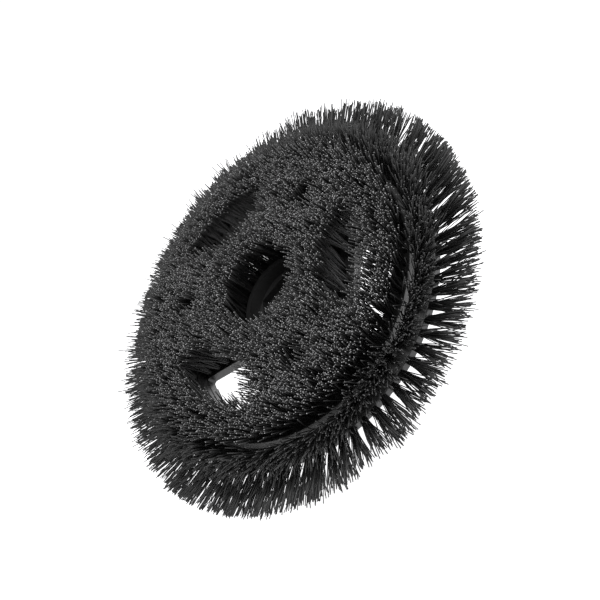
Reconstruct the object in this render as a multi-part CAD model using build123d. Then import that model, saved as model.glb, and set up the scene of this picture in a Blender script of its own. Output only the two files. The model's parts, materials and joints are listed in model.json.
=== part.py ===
from build123d import *
import math
import os

# Wheel brush: a moulded plate carrying bristle tufts that are stapled into blind holes.
# The plate is a flat web with a raised hub ring and a raised, sloping outer ring.
# Millimetres. Z is the brush axis and points the way the face tufts stand; z = 0 is the plate's back.

# Plate
WEB_H = 11.5            # front of the web above the back face
RING_IN = 130.0         # inner wall of the outer ring
RING_LOW = 24.0         # the ring's top at its inner wall; it rises outward
RING_R = 154.0          # highest edge of the ring, where the outer shoulder starts
RING_H = 33.0
EDGE_R = 176.0          # edge band
BAND_TOP = 24.0
BAND_BOTTOM = 15.0
BACK_R = 160.0          # flat back face
CORNER_R = 1.5

# Hub: a raised ring round a bore, a hexagonal seat sunk in the web, a centre hole in its floor
HUB_R = 46.0
HUB_WALL = 5.0
HUB_H = 27.0
HEX_FLATS = 79.0
HEX_TURN = 40.0         # azimuth of one corner
HEX_FLOOR = 3.0
CENTRE_R = 10.0

# Water openings between the spokes
SPOKES = 3
FIRST_OPENING = 60.0    # azimuth of an opening's centreline
OPEN_IN = 77.0          # straight inner edge, square to the centreline
OPEN_OUT = 129.5        # round outer edge
OPEN_APEX = 40.0        # where an opening's two straight sides would meet
OPEN_HALF = 45.0        # each side's slant from the centreline
OPEN_CORNER = 3.0

# Screw holes, one in the middle of each spoke
SCREW_PITCH_R = 103.0
SCREW_R = 5.5
COUNTERBORE_R = 10.0
COUNTERBORE_DEPTH = 3.5
CLEAR_R = 15.5          # no tuft stands closer to a screw than this

# Tufts and their wire anchors
HOLE_R = 3.5
WEB_DEPTH = 9.0
RING_DEPTH = 15.0
BEVEL_DEPTH = 10.0
TUFT_SIDES = 12
MOUTH_R = 3.3           # a tuft's half width where it leaves its hole
TIP_R = 5.85
TRIM_Z = 74.0           # the face tufts are trimmed flat
OUTER_R = 225.0         # the rim tufts are cut off here
ANCHOR = (0.8, 6.9, 2.0)
ANCHOR_GAP = 0.1

# Face rows: radius, number of tufts, inward lean (the inner rows lean towards the hub)
FULL_ROWS = {1: (57.0, 27, 3.0), 2: (69.5, 33, 1.0), 7: (135.0, 63, 0.0), 8: (148.0, 69, 0.0)}
# Rows that stand on the spokes only: radius, tufts on a spoke, half angle they spread over
SPOKE_ROWS = {3: (83.0, 8, 31.0), 4: (96.0, 8, 28.4), 5: (109.0, 9, 26.8), 6: (122.0, 9, 25.5)}

# Outer rings: the bevel ring leans out from the shoulder, the rim ring points almost straight out
RING_COUNT = 84
BEVEL_R = 162.0
BEVEL_ELEVATION = 54.0
BEVEL_LENGTH = 33.0
RIM_Z = 19.5
RIM_ELEVATION = 10.5
RIM_TIP_R = 6.3


def turned(shape, azimuth):
    """The shape turned about the brush axis."""
    return Rot(0, 0, azimuth) * shape


def spot(radius, height, elevation):
    """A place on azimuth 0 whose Z points outward, raised by the elevation."""
    return Pos(radius, 0, height) * Rot(0, 90 - elevation, 0)


def shoulder_z(radius):
    """Height of the sloping shoulder at a radius."""
    fall = (radius - RING_R) / (EDGE_R - RING_R)
    return RING_H - fall * (RING_H - BAND_TOP)


def mouth_z(radius):
    """Height of the uphill edge of an upright hole's mouth."""
    reach = radius + HOLE_R
    if reach < RING_IN:
        return WEB_H
    return RING_LOW + (reach - RING_IN) / (RING_R - RING_IN) * (RING_H - RING_LOW)


def ring_azimuths(count, start=0.0):
    return [start + 360 * i / count for i in range(count)]


def clear_of_screw(radius, azimuth):
    """True where a tuft on a spoke's row keeps its distance from the screw."""
    spot_xy = Vector(radius, 0, 0).rotate(Axis.Z, azimuth)
    return (spot_xy - Vector(SCREW_PITCH_R, 0, 0)).length > CLEAR_R


def spoke_azimuths(radius, count, half):
    """Azimuths of the tufts of a row that stands on the spokes only."""
    across = [-half + 2 * half * i / (count - 1) for i in range(count)]
    kept = [a for a in across if clear_of_screw(radius, a)]
    return [360 / SPOKES * k + a for k in range(SPOKES) for a in kept]


def tuft(depth, length, tip_r):
    """A bundle that stands on its anchor and widens steadily up to its tips."""
    bottom = ANCHOR[2] + ANCHOR_GAP - depth
    flare = math.atan((tip_r - MOUTH_R) / length)
    root_r = MOUTH_R + bottom * math.tan(flare)
    root = Pos(0, 0, bottom) * RegularPolygon(root_r, TUFT_SIDES, major_radius=False)
    return extrude(root, length - bottom, taper=-math.degrees(flare))


def anchor(depth):
    """The flat wire that holds a folded bundle at the bottom of its hole."""
    return Pos(0, 0, ANCHOR[2] / 2 - depth) * Box(*ANCHOR)


def tuft_hole(depth):
    return Pos(0, 0, HOLE_R - depth / 2) * Cylinder(HOLE_R, depth + 2 * HOLE_R)


def face_row(radius, lean, azimuths):
    """Hole, tuft and anchor of one upright row, with the row's azimuths."""
    mouth = mouth_z(radius)
    depth = WEB_DEPTH if mouth == WEB_H else RING_DEPTH
    place = spot(radius, mouth, 90 + lean)
    spare = 2.0
    bundle = place * tuft(depth, TRIM_Z - mouth + spare, TIP_R)
    kept = Pos(radius, 0, TRIM_Z / 2) * Box(4 * TIP_R + radius / 4, 4 * TIP_R, TRIM_Z)
    return place * tuft_hole(depth), bundle & kept, place * anchor(depth), azimuths


def bevel_row():
    place = spot(BEVEL_R, shoulder_z(BEVEL_R), BEVEL_ELEVATION)
    azimuths = ring_azimuths(RING_COUNT, 180 / RING_COUNT)
    bundle = place * tuft(BEVEL_DEPTH, BEVEL_LENGTH, TIP_R)
    return place * tuft_hole(BEVEL_DEPTH), bundle, place * anchor(BEVEL_DEPTH), azimuths


def rim_row():
    place = spot(EDGE_R, RIM_Z, RIM_ELEVATION)
    spare = 5.0
    bundle = place * tuft(RING_DEPTH, OUTER_R - EDGE_R + spare, RIM_TIP_R)
    kept = Pos(OUTER_R / 2, 0, RIM_Z) * Box(OUTER_R, 4 * RIM_TIP_R, TRIM_Z)
    return place * tuft_hole(RING_DEPTH), bundle & kept, place * anchor(RING_DEPTH), ring_azimuths(RING_COUNT)


def plate_blank():
    hub_out = HUB_R + HUB_WALL
    outline = Polyline(
        (0, 0), (BACK_R, 0), (EDGE_R, BAND_BOTTOM), (EDGE_R, BAND_TOP),
        (RING_R, RING_H), (RING_IN, RING_LOW), (RING_IN, WEB_H), (hub_out, WEB_H), (hub_out, HUB_H),
        (0, HUB_H), close=True,
    )
    section = make_face(outline)
    outer = [v for v in section.vertices() if v.X > RING_IN]
    section = fillet(outer, CORNER_R)
    return revolve(Plane.XZ * section, Axis.Z)


def hub_cut():
    bore = Pos(0, 0, (WEB_H + HUB_H) / 2) * Cylinder(HUB_R, HUB_H - WEB_H)
    hexagon = RegularPolygon(HEX_FLATS / 2, 6, major_radius=False, rotation=HEX_TURN)
    seat = Pos(0, 0, HEX_FLOOR) * extrude(hexagon, WEB_H - HEX_FLOOR)
    return [bore, seat, Pos(0, 0, HEX_FLOOR / 2) * Cylinder(CENTRE_R, HEX_FLOOR)]


def opening_cut():
    """One opening at azimuth 0, right through the web."""
    reach = OPEN_OUT
    side = reach * math.tan(math.radians(OPEN_HALF))
    wedge = Polyline((OPEN_APEX, 0), (OPEN_APEX + reach, -side), (OPEN_APEX + reach, side), close=True)
    shape = Circle(OPEN_OUT) & make_face(wedge)
    shape -= Pos(OPEN_IN / 2, 0) * Rectangle(OPEN_IN, 2 * OPEN_OUT)
    return extrude(fillet(shape.vertices(), OPEN_CORNER), WEB_H)


def screw_cut():
    hole = Pos(SCREW_PITCH_R, 0, WEB_H / 2) * Cylinder(SCREW_R, WEB_H)
    seat = Pos(SCREW_PITCH_R, 0, WEB_H) * Cylinder(COUNTERBORE_R, 2 * COUNTERBORE_DEPTH)
    return [hole, seat]


def brush_plate(rows):
    """The plate with its hub, openings, screw holes and one blind hole per tuft."""
    cuts = hub_cut()
    for azimuth in ring_azimuths(SPOKES, FIRST_OPENING):
        cuts.append(turned(opening_cut(), azimuth))
    for azimuth in ring_azimuths(SPOKES):
        cuts += [turned(cut, azimuth) for cut in screw_cut()]
    plate = plate_blank() - cuts
    for hole, _, _, azimuths in rows.values():
        plate -= [turned(hole, azimuth) for azimuth in azimuths]
    return plate


def all_rows():
    rows = {}
    for number, (radius, count, lean) in FULL_ROWS.items():
        rows[f"face_%s_row_{number}"] = face_row(radius, lean, ring_azimuths(count))
    for number, (radius, count, half) in SPOKE_ROWS.items():
        rows[f"face_%s_row_{number}"] = face_row(radius, 0.0, spoke_azimuths(radius, count, half))
    rows["bevel_%s"] = bevel_row()
    rows["rim_%s"] = rim_row()
    return rows


def main():
    os.makedirs("parts", exist_ok=True)
    rows = all_rows()
    export_step(brush_plate(rows), "parts/brush_plate.step")
    for name, (_, bundle, wire, azimuths) in rows.items():
        tufts = Compound([turned(bundle, azimuth) for azimuth in azimuths])
        wires = Compound([turned(wire, azimuth) for azimuth in azimuths])
        export_step(tufts, "parts/" + name % "tufts" + ".step")
        export_step(wires, "parts/" + name % "anchors" + ".step")


main()
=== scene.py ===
import json
import math
import bpy
import numpy as np
from mathutils import Matrix, Vector


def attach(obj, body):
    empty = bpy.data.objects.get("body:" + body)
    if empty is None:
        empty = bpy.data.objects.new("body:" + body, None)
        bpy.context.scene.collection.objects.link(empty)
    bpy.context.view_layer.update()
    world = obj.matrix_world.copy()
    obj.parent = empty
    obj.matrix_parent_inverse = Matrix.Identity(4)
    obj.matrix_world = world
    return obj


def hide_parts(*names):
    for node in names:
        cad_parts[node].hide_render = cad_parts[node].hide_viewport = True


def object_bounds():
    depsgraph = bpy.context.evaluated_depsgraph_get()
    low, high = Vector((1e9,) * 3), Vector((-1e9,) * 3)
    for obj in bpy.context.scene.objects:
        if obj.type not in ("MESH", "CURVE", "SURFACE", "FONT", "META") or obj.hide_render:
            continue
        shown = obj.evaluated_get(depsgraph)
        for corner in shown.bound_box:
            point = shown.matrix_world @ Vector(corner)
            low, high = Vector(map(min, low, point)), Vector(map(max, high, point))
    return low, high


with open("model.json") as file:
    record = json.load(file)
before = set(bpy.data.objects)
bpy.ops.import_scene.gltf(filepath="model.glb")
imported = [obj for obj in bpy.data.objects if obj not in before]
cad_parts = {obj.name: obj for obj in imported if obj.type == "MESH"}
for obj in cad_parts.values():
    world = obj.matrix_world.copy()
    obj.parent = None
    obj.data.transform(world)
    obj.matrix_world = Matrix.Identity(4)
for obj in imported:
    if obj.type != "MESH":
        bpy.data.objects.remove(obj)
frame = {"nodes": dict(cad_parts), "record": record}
cad_low, cad_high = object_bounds()
rng = np.random.default_rng(20)
MM = 0.001

# Filament
SIDES = 5
WIDE = 0.46 * MM        # radius of one filament
PACK = 3.15 * MM        # radius of the bundle in its hole
SINK = 2.5 * MM         # how far the drawn filaments start inside the hole
STEPS = (0.0, 0.3, 0.65, 1.0)   # places along a filament where its line has a point
ROOM_REACH = 0.022      # a tuft feels its neighbours' tips within this distance
SCREW_REACH = 22 * MM   # a tuft this near to a screw leans away from it
SCREW_SHARE = -0.6
RING_LIFT = 12.9 * MM   # from a tuft's root up to the mouth of its hole, in the outer ring
BEVEL_LIFT = 7.9 * MM
WEB_LIFT = 6.9 * MM
WELD = 0.01 * MM
END_SLICE = 0.6 * MM    # points this near to a tuft's end belong to it
TRIM_Z = cad_high.z
OUTER_R = cad_high.x


# ---------- materials ----------

def material(name):
    m = bpy.data.materials.new(name)
    m.use_nodes = True
    nodes, links = m.node_tree.nodes, m.node_tree.links
    return m, nodes, links, nodes["Principled BSDF"]


def ramp_from(nodes, links, source, stops):
    """A colour ramp fed by a 0..1 value; stops are (place, grey)."""
    ramp = nodes.new("ShaderNodeValToRGB")
    ramp.color_ramp.elements[0].position = stops[0][0]
    ramp.color_ramp.elements[-1].position = stops[-1][0]
    for place, _ in stops[1:-1]:
        ramp.color_ramp.elements.new(place)
    for element, (_, grey) in zip(ramp.color_ramp.elements, stops):
        element.color = (grey, grey, grey * 1.01, 1)
    links.new(source, ramp.inputs["Fac"])
    return ramp.outputs["Color"]


def noise_of(nodes, links, scale, detail=2.0):
    where = nodes.new("ShaderNodeTexCoord")
    noise = nodes.new("ShaderNodeTexNoise")
    noise.inputs["Scale"].default_value = scale
    noise.inputs["Detail"].default_value = detail
    links.new(where.outputs["Object"], noise.inputs["Vector"])
    return noise.outputs["Fac"]


def bristle_side():
    m, nodes, links, shader = material("bristle_side")
    shade = nodes.new("ShaderNodeAttribute")
    shade.attribute_name = "shade"
    links.new(ramp_from(nodes, links, shade.outputs["Fac"], SIDE_STOPS), shader.inputs["Base Color"])
    shader.inputs["Roughness"].default_value = 0.48
    shader.inputs["Specular IOR Level"].default_value = 0.32
    return m


def bristle_cut(name, stops):
    m, nodes, links, shader = material(name)
    shade = nodes.new("ShaderNodeAttribute")
    shade.attribute_name = "shade"
    links.new(ramp_from(nodes, links, shade.outputs["Fac"], stops), shader.inputs["Base Color"])
    shader.inputs["Roughness"].default_value = 0.7
    return m


def plate_plastic():
    m, nodes, links, shader = material("plate_plastic")
    grain = noise_of(nodes, links, 900.0, 3.0)
    paint = ramp_from(nodes, links, noise_of(nodes, links, 14.0), PLATE_STOPS)
    links.new(paint, shader.inputs["Base Color"])
    bump = nodes.new("ShaderNodeBump")
    bump.inputs["Strength"].default_value = 0.12
    bump.inputs["Distance"].default_value = 0.0003
    links.new(grain, bump.inputs["Height"])
    links.new(bump.outputs["Normal"], shader.inputs["Normal"])
    shader.inputs["Roughness"].default_value = 0.45
    return m


def anchor_steel():
    m, nodes, links, shader = material("anchor_steel")
    paint = ramp_from(nodes, links, noise_of(nodes, links, 400.0), STEEL_STOPS)
    links.new(paint, shader.inputs["Base Color"])
    shader.inputs["Metallic"].default_value = 1.0
    shader.inputs["Roughness"].default_value = 0.35
    return m


SIDE_STOPS = ((0.0, 0.004), (0.6, 0.009), (1.0, 0.022))
# cut ends come in two copies of one material: the lighter copy for the face tufts, whose ends face up, is
# painted light, and the darker copy for the bevel and rim tufts, whose ends face sideways, is painted shade
PAINTED_LIT_CUT_STOPS = ((0.0, 0.05), (0.5, 0.13), (1.0, 0.30))
PAINTED_SHADE_CUT_STOPS = ((0.0, 0.015), (0.5, 0.03), (1.0, 0.08))
PLATE_STOPS = ((0.35, 0.003), (0.65, 0.005))
FLOOR_STOPS = ((0.3, 0.955), (0.7, 0.965))
STEEL_STOPS = ((0.3, 0.42), (0.7, 0.60))


# ---------- tufts, read from the CAD nodes ----------

def islands(node):
    """The vertex sets of a node's separate solids, each as an array of positions."""
    mesh = frame["nodes"][node].data
    co = np.empty(len(mesh.vertices) * 3)
    mesh.vertices.foreach_get("co", co)
    co = co.reshape(-1, 3)
    _, weld = np.unique(np.round(co / WELD).astype(np.int64), axis=0, return_inverse=True)
    weld = weld.ravel()     # the imported mesh has its corners apart
    loops = np.empty(len(mesh.loops), np.int64)
    mesh.loops.foreach_get("vertex_index", loops)
    loops = weld[loops].reshape(-1, 3)
    label = np.arange(weld.max() + 1)
    while True:
        low = label[loops].min(axis=1)
        new = label.copy()
        np.minimum.at(new, loops.ravel(), np.repeat(low, 3))
        new = new[new]
        if (new == label).all():
            break
        label = new
    mine = label[weld]
    return [co[mine == k] for k in np.unique(mine)]


def tuft_ends(points):
    """(root, direction, length) of one tuft: its root is its narrow end."""
    centre = points.mean(axis=0)
    axis = np.linalg.svd(points - centre, full_matrices=False)[2][0]
    along = (points - centre) @ axis
    low = points[along < along.min() + END_SLICE]
    high = points[along > along.max() - END_SLICE]
    spread_low = np.linalg.norm(low - low.mean(axis=0), axis=1).max()
    spread_high = np.linalg.norm(high - high.mean(axis=0), axis=1).max()
    root, tip = (low, high) if spread_low < spread_high else (high, low)
    root, tip = (root.min(axis=0) + root.max(axis=0)) / 2, (tip.min(axis=0) + tip.max(axis=0)) / 2
    length = np.linalg.norm(tip - root)
    return root, (tip - root) / length, length


NODES = sorted(n for n in frame["nodes"] if n.endswith("_tufts") or "_tufts_" in n)
ON_RING = ("face_tufts_row_7", "face_tufts_row_8", "rim_tufts")


def lift_of(node):
    if node in ON_RING:
        return RING_LIFT
    return BEVEL_LIFT if node == "bevel_tufts" else WEB_LIFT


def tufts_of(node):
    """(mouth, direction, free length) of each tuft of a node, in order round the brush."""
    found = [tuft_ends(p) for p in islands(node)]
    found.sort(key=lambda t: math.atan2(t[0][1], t[0][0]))
    lift = lift_of(node)
    return [(root + axis * lift, axis, length - lift) for root, axis, length in found]


TUFTS = {node: tufts_of(node) for node in NODES}


# ---------- filaments ----------

def side_axes(axis):
    """Two directions across a tuft: along the circle, and the other one."""
    helper = np.array([0.0, 0.0, 1.0])
    across = np.cross(helper, axis)
    if np.linalg.norm(across) < 0.2:
        across = np.cross(axis, np.array([1.0, 0.0, 0.0]))
    across /= np.linalg.norm(across)
    return across, np.cross(axis, across)


def open_side(tip, tips, reach):
    """Which way a tuft's neighbours leave room, as a vector no longer than 1."""
    away = tip - tips
    far = np.linalg.norm(away, axis=1)
    near = (far > 1e-6) & (far < reach)
    if not near.any():
        return np.zeros(3)
    pull = (away[near] / far[near, None] * (1 - far[near, None] / reach)).sum(axis=0)
    size = np.linalg.norm(pull)
    return pull / max(size, 1.0)


def screw_places():
    circle = next(m for m in frame["record"]["mounts"] if m["kind"] == "bolt_pattern")
    radius, count = circle["dims"]["pcd_mm"] / 2 * MM, circle["dims"]["count"]
    turns = 2 * np.pi * np.arange(count) / count
    return radius * np.stack([np.cos(turns), np.sin(turns)], axis=1)


SCREWS = screw_places()


def screw_share(mouth):
    """Negative beside a screw, whose small clearing stays open, and 1 elsewhere."""
    near = np.linalg.norm(SCREWS - mouth[:2], axis=1).min()
    return SCREW_SHARE if near < SCREW_REACH else 1.0


class Look:
    """How the filaments of one kind of tuft lie."""

    def __init__(self, count, spread, lean, ragged, wander, curve, loose, fall):
        self.count = count      # filaments in a tuft
        self.spread = spread    # radius that the tips fill
        self.lean = lean        # extra lean towards open room
        self.ragged = ragged    # how unevenly the tips are cut
        self.wander = wander    # scatter of the tips
        self.curve = curve      # above 1, the tuft opens late
        self.loose = loose      # how far a whole tuft strays from its axis
        self.fall = fall        # how far the tips sag outward over the rim


def filaments(tufts, look, every_tip, trim):
    """Centre lines (tuft by tuft) as an array: filament, step, xyz."""
    lines = []
    golden = math.pi * (3 - math.sqrt(5))
    index = np.arange(look.count)
    for mouth, axis, length in tufts:
        across, other = side_axes(axis)
        radius = np.sqrt((index + 0.5) / look.count)
        angle = index * golden + rng.uniform(0, 2 * math.pi)
        disc = np.stack([radius * np.cos(angle), radius * np.sin(angle)], axis=1)
        room = open_side(mouth + axis * length, every_tip, ROOM_REACH) * screw_share(mouth)
        room2 = np.array([room @ across, room @ other])
        facing = np.clip(disc @ room2, 0, None)[:, None]
        tip = disc * look.spread + room2 * look.lean * (0.25 + facing)
        tip += rng.normal(0, look.wander, tip.shape)
        # the whole tuft leans a little as well
        tip += rng.normal(0, look.loose, 2)
        tip[:, 1] -= look.fall * rng.uniform(-0.3, 1.0, look.count)
        bend = rng.normal(0, look.wander * 0.35, tip.shape)
        reach = np.full(look.count, length)
        end = mouth + axis * reach[:, None] + tip[:, :1] * across + tip[:, 1:] * other
        reach = trim(mouth, axis, reach, end, look)
        for t in STEPS:
            if t == 0.0:
                lines.append(mouth - axis * SINK + disc[:, :1] * PACK * across + disc[:, 1:] * PACK * other)
                continue
            way = disc * PACK + (tip - disc * PACK) * t ** look.curve + bend * math.sin(math.pi * t)
            lines.append(mouth + axis * (reach * t)[:, None] + way[:, :1] * across + way[:, 1:] * other)
    steps = len(STEPS)
    by_step = np.array(lines).reshape(len(tufts), steps, look.count, 3)
    return by_step.transpose(0, 2, 1, 3).reshape(-1, steps, 3)


def trim_flat(mouth, axis, reach, end, look):
    """The face tufts end at one height."""
    cut = TRIM_Z - rng.exponential(look.ragged, len(reach)).clip(0, 0.006)
    return (cut - mouth[2]) / axis[2]


def trim_round(mouth, axis, reach, end, look):
    """The rim tufts end at one radius."""
    cut = OUTER_R - rng.exponential(look.ragged, len(reach)).clip(0, 0.012)
    far = np.hypot(end[:, 0], end[:, 1])
    return reach + (cut - far) / math.hypot(axis[0], axis[1])


def trim_own(mouth, axis, reach, end, look):
    return reach - rng.exponential(look.ragged, len(reach)).clip(0, 0.014) + 0.006


def mesh_of(name, lines, side, cut):
    """Tubes round the centre lines, with a flat cut end of its own material."""
    count, steps = lines.shape[:2]
    tangent = np.gradient(lines, axis=1)
    tangent /= np.linalg.norm(tangent, axis=2, keepdims=True)
    helper = np.where(np.abs(tangent[..., 2:3]) > 0.9, (1.0, 0.0, 0.0), (0.0, 0.0, 1.0))
    u = np.cross(tangent, helper)
    u /= np.linalg.norm(u, axis=2, keepdims=True)
    v = np.cross(tangent, u)
    phase = rng.uniform(0, 2 * math.pi, (count, 1, 1))
    thick = WIDE * rng.uniform(0.88, 1.12, (count, 1, 1, 1))
    turn = 2 * math.pi * np.arange(SIDES) / SIDES + phase
    around = np.cos(turn)[..., None] * u[:, :, None] + np.sin(turn)[..., None] * v[:, :, None]
    ring = lines[:, :, None] + thick * around
    verts = ring.reshape(-1, 3)
    per = steps * SIDES
    quads = []
    for s in range(steps - 1):
        for k in range(SIDES):
            j = (k + 1) % SIDES
            quads.append((s * SIDES + k, s * SIDES + j, (s + 1) * SIDES + j, (s + 1) * SIDES + k))
    base = (np.arange(count) * per)[:, None, None]
    quads = (np.array(quads)[None] + base).reshape(-1, 4)
    caps = (np.arange(SIDES)[None] + (steps - 1) * SIDES + base[:, :, 0]).reshape(-1, SIDES)
    mesh = bpy.data.meshes.new(name)
    mesh.vertices.add(len(verts))
    mesh.vertices.foreach_set("co", verts.ravel())
    loops = np.concatenate([quads.ravel(), caps.ravel()])
    mesh.loops.add(len(loops))
    mesh.loops.foreach_set("vertex_index", loops)
    first_cap = len(quads) * 4
    starts = np.concatenate([np.arange(len(quads)) * 4, first_cap + np.arange(count) * SIDES])
    mesh.polygons.add(len(starts))
    mesh.polygons.foreach_set("loop_start", starts)
    slots = np.concatenate([np.zeros(len(quads), int), np.ones(count, int)])
    mesh.polygons.foreach_set("material_index", slots)
    smooth = np.concatenate([np.ones(len(quads), bool), np.zeros(count, bool)])
    mesh.polygons.foreach_set("use_smooth", smooth)
    shade = mesh.attributes.new("shade", "FLOAT", "POINT")
    shade.data.foreach_set("value", np.repeat(rng.uniform(0, 1, count), per))
    mesh.materials.append(side)
    mesh.materials.append(cut)
    mesh.update()
    mesh.validate()
    made = bpy.data.objects.new(name, mesh)
    bpy.context.scene.collection.objects.link(made)
    return made


SIDE = bristle_side()
# the same cut-end material twice, once with painted light and once with painted shade
PAINTED_LIT_CUT = bristle_cut("bristle_cut_end_painted_lit", PAINTED_LIT_CUT_STOPS)
PAINTED_SHADE_CUT = bristle_cut("bristle_cut_end_painted_shade", PAINTED_SHADE_CUT_STOPS)
FACE = Look(
    count=42, spread=8.6 * MM, lean=20.0 * MM, ragged=1.4 * MM,
    wander=2.6 * MM, curve=1.25, loose=1.8 * MM, fall=0.0,
)
BEVEL = Look(
    count=46, spread=13.5 * MM, lean=3.0 * MM, ragged=5.0 * MM,
    wander=4.2 * MM, curve=1.1, loose=3.5 * MM, fall=14.0 * MM,
)
RIM = Look(
    count=42, spread=9.0 * MM, lean=0.0, ragged=4.0 * MM,
    wander=3.0 * MM, curve=1.1, loose=2.2 * MM, fall=0.0,
)

face_nodes = [n for n in NODES if n.startswith("face")]
face_tips = np.array([m + a * r for n in face_nodes for m, a, r in TUFTS[n]])
for name in NODES:
    if name in face_nodes:
        look, tips, trim = FACE, face_tips, trim_flat
    else:
        look, trim = (BEVEL, trim_own) if name == "bevel_tufts" else (RIM, trim_round)
        tips = np.array([m + a * r for m, a, r in TUFTS[name]])
    # face tufts take the painted-light cut ends, and bevel and rim tufts take the painted-shade cut ends
    cut = PAINTED_LIT_CUT if name in face_nodes else PAINTED_SHADE_CUT
    made = mesh_of(name.replace("tufts", "bristles"), filaments(TUFTS[name], look, tips, trim), SIDE, cut)
    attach(made, "root")
    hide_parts(name)


# ---------- plate and anchors keep their CAD shape ----------

def repaint(node, new):
    slots = frame["nodes"][node].material_slots
    for s in slots:
        s.material = new


PLASTIC, STEEL = plate_plastic(), anchor_steel()
repaint("brush_plate", PLASTIC)
for name in frame["nodes"]:
    if "anchors" in name:
        repaint(name, STEEL)


# ---------- floor, light, camera ----------

def floor():
    mesh = bpy.data.meshes.new("floor")
    far = 12.0
    level = -0.45
    corners = [(-far, -far, level), (far, -far, level), (far, far, level), (-far, far, level)]
    mesh.from_pydata(corners, [], [(0, 1, 2, 3)])
    m, nodes, links, shader = material("floor_paint")
    paint = ramp_from(nodes, links, noise_of(nodes, links, 2.0), FLOOR_STOPS)
    links.new(paint, shader.inputs["Base Color"])
    shader.inputs["Roughness"].default_value = 0.9
    shader.inputs["Specular IOR Level"].default_value = 0.1
    mesh.materials.append(m)
    made = bpy.data.objects.new("floor", mesh)
    bpy.context.scene.collection.objects.link(made)


def area_light(name, azimuth, elevation, distance, size, power):
    data = bpy.data.lights.new(name, "AREA")
    data.shape = "DISK"
    data.size = size
    data.energy = power
    made = bpy.data.objects.new(name, data)
    a, e = math.radians(azimuth), math.radians(elevation)
    place = Vector((math.cos(a) * math.cos(e), math.sin(a) * math.cos(e), math.sin(e))) * distance
    made.location = place
    made.rotation_mode = "QUATERNION"
    made.rotation_quaternion = (-place).to_track_quat("-Z", "Y")
    bpy.context.scene.collection.objects.link(made)


def sky():
    world = bpy.data.worlds.new("studio")
    bpy.context.scene.world = world
    world.use_nodes = True
    back = world.node_tree.nodes["Background"]
    back.inputs["Color"].default_value = (1.0, 1.0, 1.0, 1)
    back.inputs["Strength"].default_value = SKY


SKY = 0.92
VIEW_AZIMUTH, VIEW_ELEVATION, VIEW_ROLL, VIEW_DISTANCE = -98.0, 41.57, 58.27, 0.85


def camera():
    a, e = math.radians(VIEW_AZIMUTH), math.radians(VIEW_ELEVATION)
    near = Vector((math.cos(a), math.sin(a), 0))
    up = Vector((0, 0, 1))
    back = near * math.cos(e) + up * math.sin(e)
    high = up * math.cos(e) - near * math.sin(e)
    right = high.cross(back)
    turn = Matrix((right, high, back)).transposed() @ Matrix.Rotation(-math.radians(VIEW_ROLL), 3, "Z")
    data = bpy.data.cameras.new("camera")
    data.lens = 49.85
    data.sensor_width = 36.0
    data.shift_x = 0.0297
    data.shift_y = -0.0042
    made = bpy.data.objects.new("camera", data)
    made.matrix_world = Matrix.Translation(Vector((0, 0, 0.029)) + back * VIEW_DISTANCE) @ turn.to_4x4()
    bpy.context.scene.collection.objects.link(made)
    bpy.context.scene.camera = made


floor()
sky()
area_light("key", -40.0, 60.0, 2.2, 1.6, 60.0)
area_light("fill", 150.0, 50.0, 2.5, 2.0, 25.0)
camera()
bpy.context.scene.view_settings.view_transform = "Standard"
